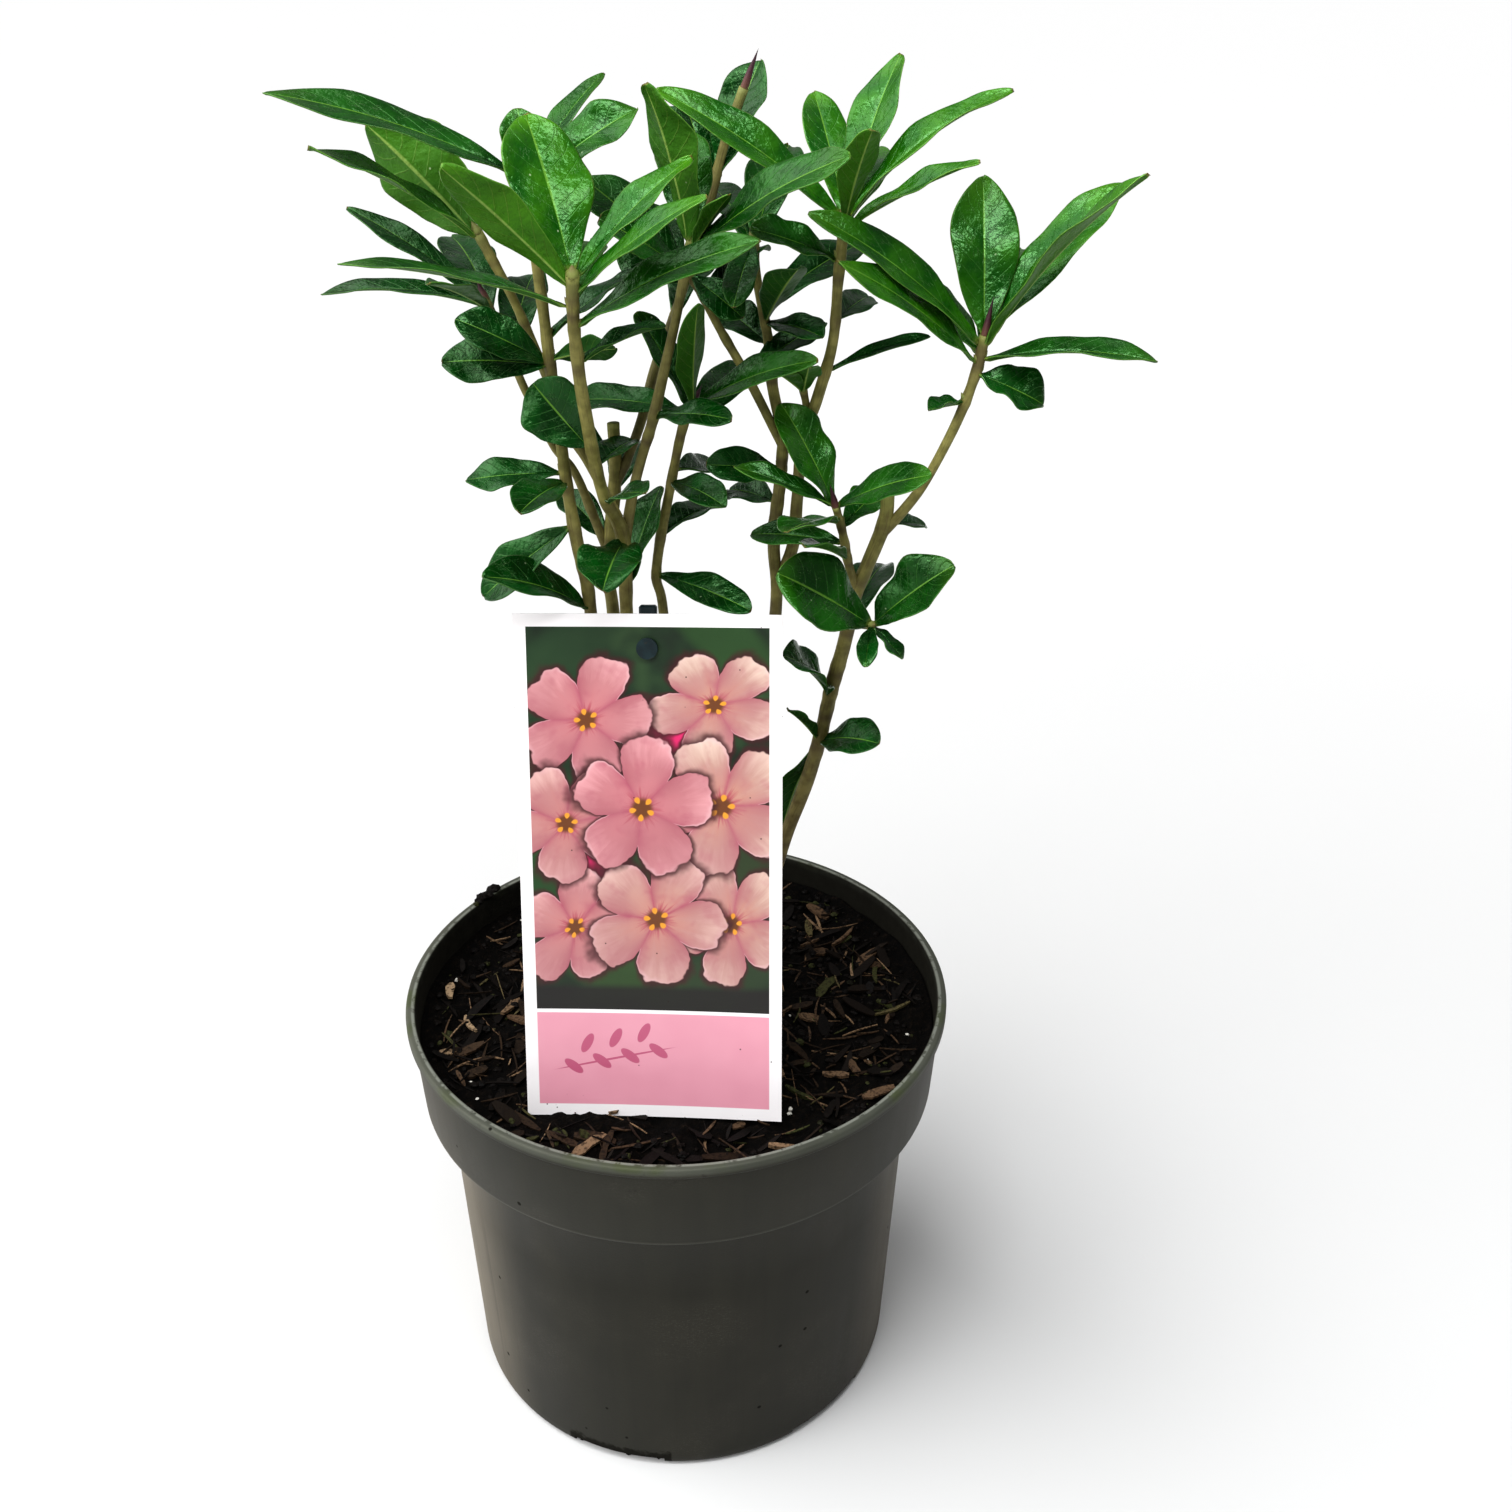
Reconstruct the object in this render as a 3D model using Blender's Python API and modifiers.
"""Potted daphne: a three-litre nursery pot with its compost, the shrub's leafy stems and the plant label.

Units are metres, and the shrub's tables are in millimetres and degrees. The origin is the middle of the
pot's underside, +Z is up, +X is right and +Y is away from the label's front.
"""

import math
import random

import bmesh
import bpy
from mathutils import Matrix, Vector

MM = 0.001
GAP = 0.0003

# Pot: heights and outer radii of its main turns
POT_HEIGHT = 0.155
RIM_RADIUS = 0.095
COLLAR_TOP_RADIUS = 0.0932
COLLAR_FOOT_RADIUS = 0.0915
COLLAR_FOOT_HEIGHT = 0.1215
BODY_TOP_RADIUS = 0.0835
BODY_FOOT_RADIUS = 0.0790
FOOT_ROUNDING = 0.003
POT_WALL = 0.0016
POT_FLOOR = 0.0022
INNER_FOOT_CHAMFER = 0.003
COLLAR_SLOPE = 0.002
RIM_LIP_HEIGHT = 0.003
RIM_EDGE = 0.0008
COLLAR_ROUNDING = 0.0012
POT_STEPS = 48
SHARP_ANGLE = 35.0

# Drain slots: low notches cut through the pot's bottom edge
SLOT_COUNT = 6
SLOT_WIDTH = 0.034
SLOT_HEIGHT = 0.0034
SLOT_DEPTH = 0.009
SLOT_OVERCUT = 0.003
FIRST_SLOT_TURN = 255.0

# Compost
SOIL_LEVEL = 0.142
SOIL_RELIEF = 0.0020
SOIL_RINGS = 6
SOIL_STEPS = 32
HOLE_HEADROOM = 0.006
HOLE_EASE = 1.08
HOLE_SIDES = 16

# Label: a thin printed card that leans back on its stake
CARD_WIDTH = 0.083
CARD_HEIGHT = 0.164
CARD_THICKNESS = 0.0008
CARD_LEAN = 16.8
CARD_TURN = -4.0
CARD_TILT = -1.7
CARD_BOW = 0.0012
CARD_COLUMNS, CARD_ROWS = 10, 4
CARD_FOOT = Vector((-0.0051, -0.0580, 0.1430))
STAKE_WIDTH = 0.0055
STAKE_THICKNESS = 0.0030
STAKE_ABOVE_CARD = 0.0025
STAKE_BELOW_CARD = 0.036
STAKE_BEVEL = 0.0006
CARD_SLOT_DEPTH = 0.004
CARD_SLOT_WIDTH = 0.004
CARD_SLOT_EASE = 0.001
BUTTON_RADIUS = 0.0033
BUTTON_THICKNESS = 0.0013
BUTTON_PIN_RADIUS = 0.0019
BUTTON_BELOW_TOP = 0.0105

# Leaves and stems
BLADE_THICKNESS = 0.0008
BLADE_STATIONS = 5
STEM_SIDES = 1
ROUTE_POINTS_PER_SPAN = 2
ROOT_OFFSET = 0.45
FOLD_ANGLES = 8.0, 22.0
WAVE_SHARES = 0.4, 1.0
WAVE_PER_WIDTH = 1 / 14
# The outline of a leaf: how far its widest place lies forward, and how full it is
YOUNG_FORM = 1.35, 0.64
OLD_FORM = 1.55, 0.56
OLD_LEAF_LENGTH = 0.038
FOOT_SHARE = 0.07
TIP_SHARE = 0.11
BUD_SIDES, BUD_RINGS = 5, 4
BUD_SLIMMING = 0.45
BUD_START = 0.3
BUD_OVER_STEM = 0.4
BUD_SLENDER = 0.035
SEED = 11

# Looks: colour, roughness
POT_COLOUR = (0.105, 0.104, 0.088)
SOIL_COLOUR = (0.022, 0.015, 0.011)
LEAF_COLOUR = (0.060, 0.135, 0.028)
CARD_COLOUR = (0.55, 0.30, 0.36)
STAKE_COLOUR = (0.008, 0.060, 0.070)

# One row is a leaf: height of its root on the stem, turn round the stem (0 right, 90 away, 180 left,
# 270 towards the label's front), rise above the level, length, width, roll about its rib, droop to the tip.
FRONT_STEM = dict(
    route=((-12, 6, 118), (-12, 6, 150), (-13, 6, 240), (-14, 4, 293), (-14, 0, 321), (-19, -5, 336),
           (-22, -12, 360), (-23, -22, 385), (-22, -29, 403)),
    radii=(2.5, 1.6),
    bud=3,
    leaves=(
        (403, 122, 57, 44, 24, 0, 20),
        (400, 215, 43, 46, 14, 50, 15),
        (402, 25, 40, 44, 11, 20, 25),
        (398, 340, 35, 46, 12, 30, 20),
        (394, 190, 12, 60, 13, 0, 20),
        (394, 88, 18, 36, 14, 0, 30),
        (388, 345, 26, 57, 14, 35, 30),
        (378, 20, 18, 26, 11, 0, 30),
        (351, 168, 48, 24, 20, -80, 15),
        (345, 65, 5, 22, 12, 0, 20),
        (319, 262, -10, 28, 21, 0, 30),
        (303, 40, 65, 33, 15, 0, 20),
        (333, 303, 22, 26, 12, 20, 25),
    ),
)
SECOND_TIP = dict(
    route=((-14, 1, 316), (-11, 2, 333), (-8, 3, 344), (-4, 3, 357), (2, 0, 381), (8, -5, 407)),
    radii=(1.7, 1.4),
    bud=4,
    leaves=(
        (407, 218, 72, 43, 17, 10, 20),
        (407, 100, 52, 36, 16, 0, 20),
        (406, 313, 45, 22, 8, 0, 15),
        (404, 326, 30, 58, 17, 40, 25),
        (357, 323, 8, 29, 11, 30, 30),
    ),
)
LEFT_TIP = dict(
    route=((-15, -1, 327), (-24, 4, 343), (-29, 6, 351), (-37, 6, 373), (-44, 6, 391), (-52, 5, 408)),
    radii=(1.6, 1.3),
    bud=3.5,
    leaves=(
        (406, 196, 30, 50, 12, -10, 25),
        (407, 164, 42, 42, 27, 88, 15),
    ),
)
LEFT_STEM = dict(
    route=((-27, 3, 118), (-27, 3, 150), (-26, 3, 240), (-25, 2, 294), (-28, 1, 318), (-30, -1, 336),
           (-31, -2, 352), (-33, -3, 377), (-35, -3, 405), (-36, -2, 415), (-37, -1, 425)),
    radii=(2.3, 1.4),
    bud=4,
    leaves=(
        (422, 50, 40, 40, 10, 0, 25),
        (421, 15, 32, 36, 15, 40, 25),
        (421, 110, 75, 20, 12, 0, 20),
        (423, 187, 18, 69, 14, -25, 25),
        (381, 25, 29, 33, 13, 0, 25),
        (375, 335, 14, 22, 9, -60, 20),
        (374, 188, 27, 28, 14, -50, 20),
        (373, 183, 2, 30, 15, -50, 35),
        (341, 180, -5, 29, 12, -35, 20),
        (338, 248, -2, 27, 15, -10, 30),
        (324, 175, -40, 38, 16, -50, 20),
        (296, 210, 27, 38, 18, -25, 40),
    ),
)
BACK_LEFT_STEM = dict(
    route=((-19, 20, 118), (-19, 20, 150), (-19, 16, 240), (-19, 12, 289), (-20, 13, 305), (-17, 14, 337),
           (-17, 14, 352)),
    radii=(2.4, 1.9),
    bud=0,
    leaves=(
        (314, 131, 22, 27, 12, -20, 25),
        (330, 80, 15, 30, 13, 0, 30),
        (340, 150, 25, 30, 12, -30, 25),
    ),
)
FAR_TIP = dict(
    route=((-17, 14, 333), (-13, 15, 341), (-9, 20, 351), (-5, 26, 365), (2, 31, 383), (9, 32, 404),
           (13, 31, 417), (17, 30, 431), (22, 28, 444)),
    radii=(1.6, 1.4),
    bud=11,
    leaves=(
        (419, 35, 64, 35, 16, 20, 15),
        (421, 62, 50, 31, 12, 0, 30),
        (416, 130, 62, 27, 13, 0, 15),
        (412, 115, 35, 42, 16, 0, 30),
        (380, 75, 20, 40, 16, 0, 35),
    ),
)
DARK_TIP = dict(
    route=((-19, 13, 308), (-26, 15, 327), (-30, 15, 337), (-35, 14, 344), (-39, 13, 354), (-43, 12, 363),
           (-49, 15, 378), (-53, 15, 388)),
    radii=(1.5, 1.1),
    bud=6,
    leaves=(
        (387, 160, 28, 50, 9, -25, 25),
        (386, 174, 2, 50, 11, -10, 30),
        (385, 246, 23, 31, 12, 0, 20),
        (384, 115, 20, 44, 16, 0, 40),
        (372, 85, 25, 40, 15, 0, 35),
    ),
)
MIDDLE_STEM = dict(
    route=((-1, 16, 118), (-1, 16, 150), (-2, 14, 240), (-3, 12, 291), (-5, 12, 305), (-1, 12, 328),
           (4, 12, 351), (7, 12, 358)),
    radii=(1.9, 1.3),
    bud=7,
    leaves=(
        (358, 277, 57, 41, 12, 40, 10),
        (357, 150, 55, 32, 12, -10, 20),
        (357, 327, 25, 48, 14, 35, 30),
        (356, 165, 0, 39, 13, -25, 30),
        (352, 60, 10, 44, 15, 20, 35),
        (334, 307, 0, 28, 12, 25, 40),
        (338, 59, -20, 31, 15, 20, 30),
        (304, 326, -6, 36, 12, 30, 30),
        (317, 53, 4, 27, 14, 0, 30),
    ),
)
BACK_RIGHT_STEM = dict(
    route=((22, 24, 118), (22, 24, 150), (27, 20, 240), (33, 15, 291), (32, 15, 314), (34, 14, 338),
           (34, 13, 349), (31, 15, 363), (30, 17, 374), (26, 19, 394), (25, 20, 405)),
    radii=(2.3, 1.3),
    bud=4,
    leaves=(
        (404, 258, -28, 29, 10, 0, 20),
        (382, 289, 36, 33, 13, 0, 15),
        (375, 125, 14, 27, 13, -30, 30),
        (381, 312, 0, 24, 12, 20, 30),
        (403, 75, 30, 46, 17, 0, 30),
        (402, 110, 15, 44, 16, 0, 35),
        (385, 40, 20, 44, 15, 20, 30),
        (327, 127, -6, 25, 13, -30, 30),
        (338, 200, 9, 24, 12, -60, 20),
    ),
)
INNER_TIP = dict(
    route=((34, 13, 346), (27, 12, 360), (22, 10, 370), (15, 9, 382), (9, 10, 393), (5, 10, 398)),
    radii=(1.4, 1.2),
    bud=4,
    leaves=(
        (397, 160, 37, 40, 18, -30, 20),
        (397, 200, 32, 29, 15, -40, 20),
        (397, 120, 20, 38, 15, 0, 30),
        (394, 155, 18, 26, 14, -60, 20),
        (396, 42, 8, 30, 15, 0, 30),
        (368, 20, 28, 28, 12, 20, 20),
        (390, 58, 9, 26, 11, 20, 25),
        (396, 330, -30, 20, 11, 40, 20),
    ),
)
CROWN_TIP = dict(
    route=((33, 15, 300), (38, 15, 313), (39, 13, 329), (40, 10, 348), (44, 8, 361), (48, 5, 378),
           (49, 2, 397), (50, 0, 414)),
    radii=(2.0, 1.4),
    bud=5,
    leaves=(
        (414, 47, 62, 45, 15, 0, 20),
        (414, 108, 47, 40, 14, 0, 20),
        (413, 281, 45, 36, 11, 10, 15),
        (413, 8, 36, 55, 12, 15, 40),
        (411, 330, 27, 43, 10, 25, 15),
        (413, 186, 33, 60, 14, -40, 25),
        (410, 75, 20, 48, 17, 0, 40),
        (385, 64, 6, 24, 11, 20, 20),
        (370, 18, 14, 33, 6, 20, 20),
        (402, 200, 20, 28, 12, -40, 20),
    ),
)
NODDING_TIP = dict(
    route=((40, 10, 350), (41, 9, 358), (40, 8, 364)),
    radii=(1.2, 1.0),
    bud=3,
    leaves=(
        (364, 275, 40, 15, 9, 0, 15),
        (364, 235, 30, 15, 8, 0, 15),
    ),
)
RIGHT_STEM = dict(
    route=((21, 4, 118), (21, 4, 150), (23, 4, 160), (29, 6, 180), (37, 8, 209), (42, 8, 225),
           (47, 7, 244), (51, 6, 266), (55, 4, 286), (58, 3, 303), (65, 2, 324), (66, 2, 335)),
    radii=(2.6, 2.1),
    bud=0,
    leaves=(
        (266, 227, 43, 30, 18, -30, 30),
        (248, 312, 20, 28, 16, 30, 40),
        (249, 229, 46, 23, 8, 0, 20),
        (245, 130, -68, 44, 15, 0, 20),
        (325, 40, -15, 18, 8, 20, 20),
        (290, 70, 10, 40, 15, 0, 40),
    ),
)
OUTER_TIP = dict(
    route=((64, 2, 321), (71, 1, 330), (77, 1, 339), (84, 0, 355), (89, 0, 370), (91, 0, 382)),
    radii=(1.6, 1.4),
    bud=11,
    leaves=(
        (381, 92, 63, 46, 20, 0, 20),
        (381, 22, 45, 57, 16, 20, 20),
        (378, 330, 50, 65, 15, 10, 25),
        (379, 190, 36, 63, 14, -40, 30),
        (374, 205, 34, 56, 13, -40, 25),
        (375, 342, 4, 49, 12, 15, 30),
        (363, 200, -8, 11, 10, 0, 20),
        (371, 350, -22, 21, 16, 35, 20),
        (378, 70, 25, 50, 17, 0, 35),
        (376, 120, 15, 48, 16, 0, 40),
    ),
)
BROWN_BUD_TIP = dict(
    route=((58, 3, 303), (55, 0, 312), (53, -3, 322), (50, -6, 333)),
    radii=(1.4, 1.1),
    bud=8,
    leaves=(
        (333, 150, 56, 34, 17, -20, 20),
        (333, 330, 26, 33, 14, 35, 30),
        (326, 51, 19, 22, 12, 20, 20),
        (328, 232, 8, 26, 17, 10, 30),
        (320, 160, -2, 30, 12, -25, 25),
        (315, 243, 24, 34, 11, 0, 20),
        (333, 175, 20, 32, 9, -20, 20),
    ),
)
LOW_SIDE_TIP = dict(
    route=((57, 3, 293), (60, -3, 294), (62, -8, 296)),
    radii=(1.5, 1.2),
    bud=3,
    leaves=(
        (296, 200, 34, 37, 25, -50, 20),
        (296, 335, 44, 34, 19, 55, 25),
        (296, 261, -24, 17, 7, 0, 20),
        (296, 322, -35, 14, 7, 0, 10),
    ),
)
# Each node's stems: the first one stands in the compost and the others branch from it
LEAFY_STEMS = dict(
    stem_front=(FRONT_STEM, SECOND_TIP, LEFT_TIP),
    stem_left=(LEFT_STEM,),
    stem_back_left=(BACK_LEFT_STEM, FAR_TIP, DARK_TIP),
    stem_middle=(MIDDLE_STEM,),
    stem_back_right=(BACK_RIGHT_STEM, INNER_TIP, CROWN_TIP, NODDING_TIP),
    stem_right=(RIGHT_STEM, OUTER_TIP, BROWN_BUD_TIP, LOW_SIDE_TIP),
)


def clear_scene():
    """Removes what the scene holds."""
    for obj in list(bpy.data.objects):
        bpy.data.objects.remove(obj, do_unlink=True)


def new_collection(name):
    """A collection of the scene."""
    collection = bpy.data.collections.new(name)
    bpy.context.scene.collection.children.link(collection)
    return collection


def new_material(name, colour, roughness):
    """A plain surface."""
    material = bpy.data.materials.new(name)
    material.use_nodes = True
    shader = material.node_tree.nodes["Principled BSDF"]
    shader.inputs["Base Color"].default_value = (*colour, 1.0)
    shader.inputs["Roughness"].default_value = roughness
    return material


def place(obj, collection, material=None):
    """Puts an object in one collection and gives it its material."""
    for other in list(obj.users_collection):
        other.objects.unlink(obj)
    collection.objects.link(obj)
    if material:
        obj.data.materials.clear()
        obj.data.materials.append(material)
    return obj


def as_helper(obj):
    """Marks a cutter, so that it is no piece of the object."""
    obj.hide_render = True
    obj.display_type = "WIRE"
    return obj


def settle(obj):
    """Applies the object's modifiers."""
    graph = bpy.context.evaluated_depsgraph_get()
    mesh = bpy.data.meshes.new_from_object(obj.evaluated_get(graph))
    old = obj.data
    obj.modifiers.clear()
    obj.data = mesh
    if old.users == 0 and isinstance(old, bpy.types.Mesh):
        bpy.data.meshes.remove(old)
    return obj


def turned(name, profile, steps, collection):
    """A solid turned round the Z axis from a profile of (radius, height)."""
    mesh = bpy.data.meshes.new(name)
    points = [(radius, 0.0, height) for radius, height in profile]
    edges = [(i, i + 1) for i in range(len(points) - 1)]
    mesh.from_pydata(points, edges, [])
    obj = bpy.data.objects.new(name, mesh)
    collection.objects.link(obj)
    screw = obj.modifiers.new("turn", "SCREW")
    screw.angle = math.tau
    screw.steps = steps
    screw.render_steps = steps
    screw.use_merge_vertices = True
    screw.merge_threshold = 0.00001
    screw.use_normal_calculate = True
    return settle(obj)


def arc(centre, radius, start, end, count):
    """Points of an arc in a profile, angles in degrees."""
    points = []
    for i in range(count):
        angle = math.radians(start + (end - start) * i / (count - 1))
        points.append((centre[0] + radius * math.cos(angle), centre[1] + radius * math.sin(angle)))
    return points


def inner_wall():
    """The pot's inner side from its floor to its rim, as (radius, height)."""
    return [
        (BODY_FOOT_RADIUS - POT_WALL - INNER_FOOT_CHAMFER, POT_FLOOR),
        (BODY_FOOT_RADIUS - POT_WALL, POT_FLOOR + INNER_FOOT_CHAMFER),
        (BODY_TOP_RADIUS - POT_WALL, COLLAR_FOOT_HEIGHT - COLLAR_SLOPE / 2),
        (COLLAR_FOOT_RADIUS - POT_WALL, COLLAR_FOOT_HEIGHT + COLLAR_SLOPE / 2),
        (COLLAR_TOP_RADIUS - POT_WALL, POT_HEIGHT),
    ]


def make_pot(collection, cutters, material):
    """The pot: floor, tapered wall, collar, rim lip and drain slots."""
    lip = RIM_LIP_HEIGHT
    profile = [(0.0, POT_FLOOR)] + inner_wall()
    profile += [(RIM_RADIUS - RIM_EDGE, POT_HEIGHT), (RIM_RADIUS, POT_HEIGHT - RIM_EDGE)]
    profile += [(RIM_RADIUS, POT_HEIGHT - lip), (COLLAR_TOP_RADIUS, POT_HEIGHT - lip - RIM_EDGE)]
    turn_in, foot = COLLAR_ROUNDING, FOOT_ROUNDING
    profile += arc((COLLAR_FOOT_RADIUS - turn_in, COLLAR_FOOT_HEIGHT), turn_in, 0, -90, 3)
    profile += [(BODY_TOP_RADIUS, COLLAR_FOOT_HEIGHT - turn_in - COLLAR_SLOPE)]
    profile += arc((BODY_FOOT_RADIUS - foot, foot), foot, 0, -90, 3)
    profile += [(0.0, 0.0)]
    pot = turned("pot", profile, POT_STEPS, collection)
    for i in range(SLOT_COUNT):
        turn = math.radians(FIRST_SLOT_TURN + 360.0 / SLOT_COUNT * i)
        reach = BODY_FOOT_RADIUS - SLOT_DEPTH / 2 + SLOT_OVERCUT
        spot = (reach * math.cos(turn), reach * math.sin(turn), 0.0)
        bpy.ops.mesh.primitive_cube_add(size=1.0, location=spot, rotation=(0.0, 0.0, turn))
        slot = place(bpy.context.object, cutters)
        slot.name = f"slot_{i}"
        slot.scale = (SLOT_DEPTH, SLOT_WIDTH, 2 * SLOT_HEIGHT)
        as_helper(slot)
    cut = pot.modifiers.new("slots", "BOOLEAN")
    cut.operation = "DIFFERENCE"
    cut.operand_type = "COLLECTION"
    cut.collection = cutters
    settle(pot)
    pot.data.shade_smooth()
    pot.data.set_sharp_from_angle(angle=math.radians(SHARP_ANGLE))
    return place(pot, collection, material)


def relief(x, y):
    """Height of the compost's bumps at a point, between -1 and 1."""
    coarse = math.sin(61 * x + 2.0 * math.sin(47 * y)) * math.cos(53 * y + 1.3)
    fine = math.sin(310 * x + 170 * y) * math.sin(260 * y - 140 * x + 0.7)
    return 0.6 * coarse + 0.4 * fine


def make_soil(collection, holes, material):
    """The compost: it fills the pot to its level, has a rough top and a plain hole for each stem."""
    wall = [(radius - GAP, height) for radius, height in inner_wall()]
    foot, top = wall[:-1], wall[-2:]
    share = (SOIL_LEVEL - top[0][1]) / (top[1][1] - top[0][1])
    edge = top[0][0] + (top[1][0] - top[0][0]) * share
    rings = [(edge * i / SOIL_RINGS, SOIL_LEVEL) for i in range(SOIL_RINGS + 1)]
    foot[0] = (foot[0][0], POT_FLOOR + GAP)
    foot[1] = (foot[1][0], foot[1][1] + GAP)
    profile = rings + foot[::-1] + [(0.0, POT_FLOOR + GAP)]
    soil = turned("soil", profile, SOIL_STEPS, collection)
    for vertex in soil.data.vertices:
        x, y, z = vertex.co
        if z > SOIL_LEVEL - 0.0001 and math.hypot(x, y) < edge - 0.001:
            vertex.co.z += SOIL_RELIEF * relief(x, y)
    cut = soil.modifiers.new("holes", "BOOLEAN")
    cut.operation = "DIFFERENCE"
    cut.operand_type = "COLLECTION"
    cut.collection = holes
    settle(soil)
    return place(soil, collection, material)


def card_frame():
    """Places the label's own axes: X across, Z up its slope, Y towards its back."""
    lean = Matrix.Rotation(math.radians(-CARD_LEAN), 4, "X")
    turn = Matrix.Rotation(math.radians(CARD_TURN), 4, "Z")
    tilt = Matrix.Rotation(math.radians(CARD_TILT), 4, "Y")
    return Matrix.Translation(CARD_FOOT) @ turn @ lean @ tilt


def bow(share):
    """How far the card's middle stands behind its two edges; share runs from -1 to 1 across it."""
    return CARD_BOW * (1.0 - share * share)


def make_card(collection, cutters, holes, material):
    """The printed card, slightly bowed, with the button's hole, and its slot in the compost."""
    bpy.ops.mesh.primitive_grid_add(x_subdivisions=CARD_COLUMNS, y_subdivisions=CARD_ROWS, size=1.0)
    card = place(bpy.context.object, collection, material)
    card.name = "label_card"
    for vertex in card.data.vertices:
        across, up = vertex.co.x * 2.0, vertex.co.y + 0.5
        vertex.co = (across * CARD_WIDTH / 2, bow(across), up * CARD_HEIGHT)
    thicken = card.modifiers.new("thickness", "SOLIDIFY")
    thicken.thickness = CARD_THICKNESS
    thicken.offset = 0.0
    settle(card)
    drill_height = CARD_HEIGHT - BUTTON_BELOW_TOP
    bpy.ops.mesh.primitive_cylinder_add(vertices=16, radius=BUTTON_PIN_RADIUS + GAP, depth=20 * MM)
    drill = as_helper(place(bpy.context.object, cutters))
    drill.name = "button_drill"
    lay = Matrix.Rotation(math.pi / 2, 4, "X")
    drill.data.transform(Matrix.Translation((0, bow(0.0), drill_height)) @ lay)
    cut = card.modifiers.new("button hole", "BOOLEAN")
    cut.operation = "DIFFERENCE"
    cut.object = drill
    settle(card)
    drill.data.transform(card_frame())
    card.data.transform(card_frame())
    bpy.ops.mesh.primitive_cube_add(size=1.0)
    slot = as_helper(place(bpy.context.object, holes))
    slot.name = "card_slot"
    slot.data.transform(Matrix.Diagonal((CARD_WIDTH + 2 * CARD_SLOT_EASE, CARD_SLOT_WIDTH, 20 * MM, 1.0)))
    slot.data.transform(Matrix.Translation((0.0, CARD_BOW / 2, 10 * MM - CARD_SLOT_DEPTH)))
    slot.data.transform(card_frame())
    return card


def make_stake(collection, parts, holes, material):
    """The stake behind the card and the button that holds the card on it."""
    front = bow(0.0) + CARD_THICKNESS / 2 + GAP
    top = CARD_HEIGHT + STAKE_ABOVE_CARD
    height = top + STAKE_BELOW_CARD
    bpy.ops.mesh.primitive_cube_add(size=1.0)
    stake = place(bpy.context.object, collection, material)
    stake.name = "label_stake"
    stake.data.transform(Matrix.Diagonal((STAKE_WIDTH, STAKE_THICKNESS, height, 1.0)))
    stake.data.transform(Matrix.Translation((0.0, front + STAKE_THICKNESS / 2, top - height / 2)))
    bpy.ops.mesh.primitive_cube_add(size=1.0)
    hole = as_helper(place(bpy.context.object, holes))
    hole.name = "stake_hole"
    size = (STAKE_WIDTH + 2 * GAP, STAKE_THICKNESS + 2 * GAP, height + 2 * GAP, 1.0)
    hole.data.transform(Matrix.Diagonal(size))
    hole.data.transform(Matrix.Translation((0.0, front + STAKE_THICKNESS / 2, top - height / 2)))
    hole.data.transform(card_frame())
    bevel = stake.modifiers.new("edges", "BEVEL")
    bevel.width = STAKE_BEVEL
    bevel.segments = 1
    settle(stake)
    head_back = bow(0.0) - CARD_THICKNESS / 2 - GAP
    up = CARD_HEIGHT - BUTTON_BELOW_TOP
    pin_length = front + STAKE_THICKNESS / 2 - head_back + BUTTON_THICKNESS / 2
    pieces = (
        (BUTTON_RADIUS, BUTTON_THICKNESS, head_back - BUTTON_THICKNESS / 2),
        (BUTTON_PIN_RADIUS, pin_length, head_back - BUTTON_THICKNESS / 2 + pin_length / 2),
    )
    for radius, depth, middle in pieces:
        bpy.ops.mesh.primitive_cylinder_add(vertices=20, radius=radius, depth=depth)
        piece = place(bpy.context.object, parts)
        piece.data.transform(Matrix.Translation((0.0, middle, up)) @ Matrix.Rotation(math.pi / 2, 4, "X"))
    join_all(stake, parts, "EXACT")
    stake.data.transform(card_frame())
    return stake


def join_all(obj, parts, solver):
    """Joins a collection's objects to one object, and removes them."""
    union = obj.modifiers.new("union", "BOOLEAN")
    union.operation = "UNION"
    union.operand_type = "COLLECTION"
    union.collection = parts
    union.solver = solver
    settle(obj)
    for piece in list(parts.objects):
        bpy.data.objects.remove(piece, do_unlink=True)
    bpy.data.collections.remove(parts)
    return obj


def keep_largest_shell(obj):
    """Fills the hollows that joined leaves close off: only the outer shell stays."""
    bm = bmesh.new()
    bm.from_mesh(obj.data)
    waiting = set(bm.verts)
    shells = []
    while waiting:
        shell = {waiting.pop()}
        edge_of_shell = list(shell)
        while edge_of_shell:
            vertex = edge_of_shell.pop()
            found = {edge.other_vert(vertex) for edge in vertex.link_edges} - shell
            shell |= found
            edge_of_shell.extend(found)
        waiting -= shell
        shells.append(shell)
    shells.sort(key=len)
    hidden = [vertex for shell in shells[:-1] for vertex in shell]
    bmesh.ops.delete(bm, geom=hidden, context="VERTS")
    bm.to_mesh(obj.data)
    bm.free()
    return obj


def smooth_route(points, per_span):
    """A smooth line through a stem's points."""
    points = [Vector(point) * MM for point in points]
    ends = [2 * points[0] - points[1]] + points + [2 * points[-1] - points[-2]]
    line = []
    for i in range(1, len(ends) - 2):
        a, b, c, d = ends[i - 1:i + 3]
        for k in range(per_span):
            t = k / per_span
            line.append(0.5 * (2 * b + (c - a) * t + (2 * a - 5 * b + 4 * c - d) * t ** 2
                               + (3 * b - a - 3 * c + d) * t ** 3))
    line.append(points[-1])
    return line


def at_height(line, height):
    """The place on a stem's line at one height."""
    for low, high in zip(line, line[1:]):
        if low.z <= height <= high.z:
            return low.lerp(high, (height - low.z) / max(high.z - low.z, 1e-9))
    return min(line, key=lambda point: abs(point.z - height)).copy()


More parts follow.
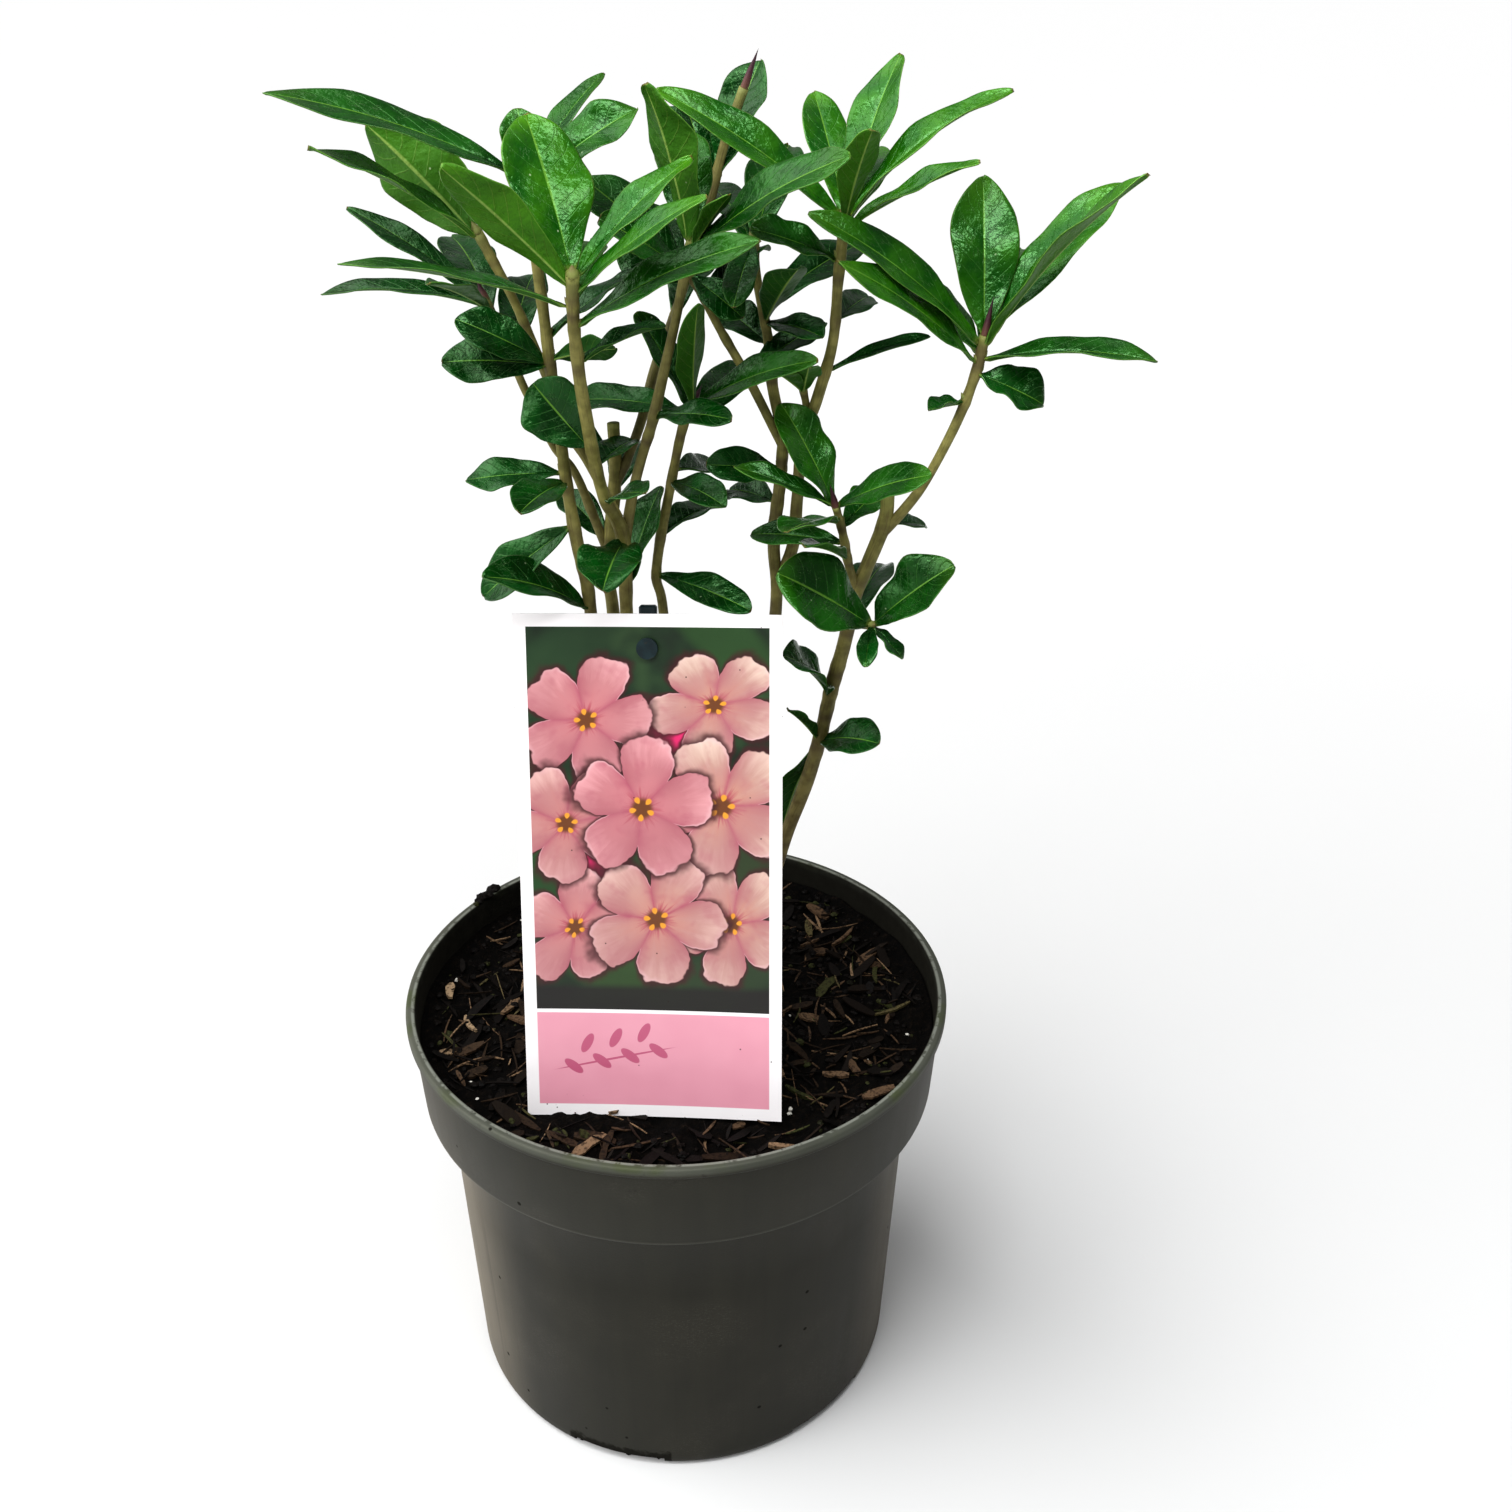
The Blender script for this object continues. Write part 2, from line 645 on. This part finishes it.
def make_tube(name, line, radii, collection):
    """A stem: a tapered round tube along its line."""
    curve = bpy.data.curves.new(name, "CURVE")
    curve.dimensions = "3D"
    curve.bevel_depth = MM
    curve.bevel_resolution = STEM_SIDES
    curve.use_fill_caps = True
    spline = curve.splines.new("POLY")
    spline.points.add(len(line) - 1)
    for i, (point, spot) in enumerate(zip(spline.points, line)):
        point.co = (*spot, 1.0)
        point.radius = radii[0] + (radii[1] - radii[0]) * i / (len(line) - 1)
    source = bpy.data.objects.new(name, curve)
    collection.objects.link(source)
    graph = bpy.context.evaluated_depsgraph_get()
    mesh = bpy.data.meshes.new_from_object(source.evaluated_get(graph))
    bpy.data.objects.remove(source, do_unlink=True)
    bm = bmesh.new()
    bm.from_mesh(mesh)
    bmesh.ops.remove_doubles(bm, verts=bm.verts, dist=0.00002)
    bmesh.ops.recalc_face_normals(bm, faces=bm.faces)
    bm.to_mesh(mesh)
    bm.free()
    tube = bpy.data.objects.new(name, mesh)
    collection.objects.link(tube)
    return tube


def make_bud(name, tip, direction, radius, length, collection):
    """A pointed bud at the end of a stem."""
    bm = bmesh.new()
    bmesh.ops.create_uvsphere(bm, u_segments=BUD_SIDES, v_segments=BUD_RINGS, radius=1.0)
    for vertex in bm.verts:
        x, y, z = vertex.co
        slim = 1.0 - BUD_SLIMMING * max(z, 0.0)
        vertex.co = (x * slim * radius, y * slim * radius, z * length / 2)
    turn = direction.to_track_quat("Z", "Y").to_matrix().to_4x4()
    bm.transform(Matrix.Translation(tip + direction * length * BUD_START) @ turn)
    mesh = bpy.data.meshes.new(name)
    bm.to_mesh(mesh)
    bm.free()
    bud = bpy.data.objects.new(name, mesh)
    collection.objects.link(bud)
    return bud


def blade_half_width(share, length):
    """A leaf's half width along its rib, as a share of the greatest: narrow foot, round tip."""
    forward, fullness = YOUNG_FORM if length > OLD_LEAF_LENGTH else OLD_FORM
    width = math.sin(math.pi * min(share, 0.999) ** forward) ** fullness
    return max(width, FOOT_SHARE + TIP_SHARE * share)


def blade_share(step):
    """Where along the rib a row of points lies: the rows crowd towards the round tip."""
    return 0.5 * step + 0.5 * math.sin(math.pi / 2 * step)


def blade_point(share, side, length, width, fold, droop, wave, phase):
    """A point of a blade in its own axes: X along the rib, Y across, Z up from its upper face."""
    bend = math.radians(droop)
    tilt = bend * (0.5 - share)
    if abs(bend) > 1e-4:
        reach = bend / (2 * math.sin(bend / 2)) * length
        along = reach * (math.sin(bend / 2) - math.sin(tilt)) / bend
        up = reach * (math.cos(tilt) - math.cos(bend / 2)) / bend
    else:
        along, up = share * length, 0.0
    half = side * blade_half_width(share, length) * width / 2
    lift = abs(half) * math.sin(math.radians(fold))
    lift += wave * abs(side) * math.sin(math.tau * (2.2 * share + phase) + 1.3 * side)
    across = half * math.cos(math.radians(fold))
    return Vector((along - lift * math.sin(tilt), across, up + lift * math.cos(tilt)))


def blade_axes(turn, rise, roll):
    """A leaf's axes at its root: X along its rib, Z out of its upper face."""
    turn, rise = math.radians(turn), math.radians(rise)
    rib = Vector((math.cos(rise) * math.cos(turn), math.cos(rise) * math.sin(turn), math.sin(rise)))
    face = Vector((-math.sin(rise) * math.cos(turn), -math.sin(rise) * math.sin(turn), math.cos(rise)))
    face = Matrix.Rotation(math.radians(roll), 3, rib) @ face
    return Matrix((rib, face.cross(rib), face)).transposed().to_4x4()


def make_leaf(name, root, row, chance, collection):
    """A leaf: a waved, folded and drooping blade of even thickness."""
    height, turn, rise, length, width, roll, droop = row
    fold = chance.uniform(*FOLD_ANGLES)
    wave = chance.uniform(*WAVE_SHARES) * WAVE_PER_WIDTH * width * MM
    phase = chance.random()
    bm = bmesh.new()
    bmesh.ops.create_grid(bm, x_segments=BLADE_STATIONS, y_segments=2, size=1.0)
    for vertex in bm.verts:
        share, side = blade_share((vertex.co.x + 1) / 2), vertex.co.y
        vertex.co = blade_point(share, side, length * MM, width * MM, fold, droop, wave, phase)
    bmesh.ops.triangulate(bm, faces=bm.faces, quad_method="FIXED")
    bm.transform(Matrix.Translation(root) @ blade_axes(turn, rise, roll))
    mesh = bpy.data.meshes.new(name)
    bm.to_mesh(mesh)
    bm.free()
    leaf = bpy.data.objects.new(name, mesh)
    collection.objects.link(leaf)
    thicken = leaf.modifiers.new("thickness", "SOLIDIFY")
    thicken.thickness = BLADE_THICKNESS
    thicken.offset = 0.0
    return settle(leaf)


def make_stem_pieces(name, stems, parts):
    """The tubes, buds and leaves of one leafy stem; gives back its main tube."""
    chance = random.Random(f"{name} {SEED}")
    trunk = None
    for number, stem in enumerate(stems):
        line = smooth_route(stem["route"], ROUTE_POINTS_PER_SPAN)
        tube = make_tube(f"{name}_tube_{number}", line, stem["radii"], parts)
        if trunk is None:
            trunk = tube
        if stem["bud"]:
            radius = (stem["radii"][1] + BUD_OVER_STEM) * (1 - BUD_SLENDER * stem["bud"]) * MM
            make_bud(f"{name}_bud_{number}", line[-1], (line[-1] - line[-2]).normalized(), radius,
                     stem["bud"] * MM, parts)
        for k, row in enumerate(stem["leaves"]):
            turn = math.radians(row[1])
            out = Vector((math.cos(turn), math.sin(turn), 0.0)) * stem["radii"][1] * ROOT_OFFSET * MM
            root = at_height(line, row[0] * MM) + out
            make_leaf(f"{name}_leaf_{number}_{k}", root, row, chance, parts)
    return trunk


def make_leafy_stem(name, stems, collection, holes, material):
    """One leafy stem with its branches, leaves and buds joined in one solid."""
    parts = new_collection(f"{name} repeats")
    trunk = make_stem_pieces(name, stems, parts)
    foot = Vector(stems[0]["route"][0]) * MM
    width = stems[0]["radii"][0] * MM + GAP
    top = SOIL_LEVEL + HOLE_HEADROOM
    depth = top - foot.z + GAP
    bpy.ops.mesh.primitive_cylinder_add(vertices=HOLE_SIDES, radius=width * HOLE_EASE, depth=depth)
    hole = as_helper(place(bpy.context.object, holes))
    hole.name = f"{name}_hole"
    hole.location = (foot.x, foot.y, (top + foot.z - GAP) / 2)
    place(trunk, collection, material)
    trunk.name = name
    join_all(trunk, parts, "MANIFOLD")
    return keep_largest_shell(trunk)


def build():
    """Makes the whole object."""
    clear_scene()
    collection = new_collection("Potted daphne")
    slots = new_collection("Pot cutters")
    holes = new_collection("Soil cutters")
    cutters = new_collection("Label cutters")
    plastic = new_material("pot plastic", POT_COLOUR, 0.5)
    compost = new_material("compost", SOIL_COLOUR, 0.95)
    leaf = new_material("daphne leaf", LEAF_COLOUR, 0.4)
    print_card = new_material("label print", CARD_COLOUR, 0.4)
    stake_plastic = new_material("stake plastic", STAKE_COLOUR, 0.4)
    make_pot(collection, slots, plastic)
    for name, stems in LEAFY_STEMS.items():
        make_leafy_stem(name, stems, collection, holes, leaf)
    make_card(collection, cutters, holes, print_card)
    make_stake(collection, new_collection("Stake pieces"), holes, stake_plastic)
    make_soil(collection, holes, compost)


build()
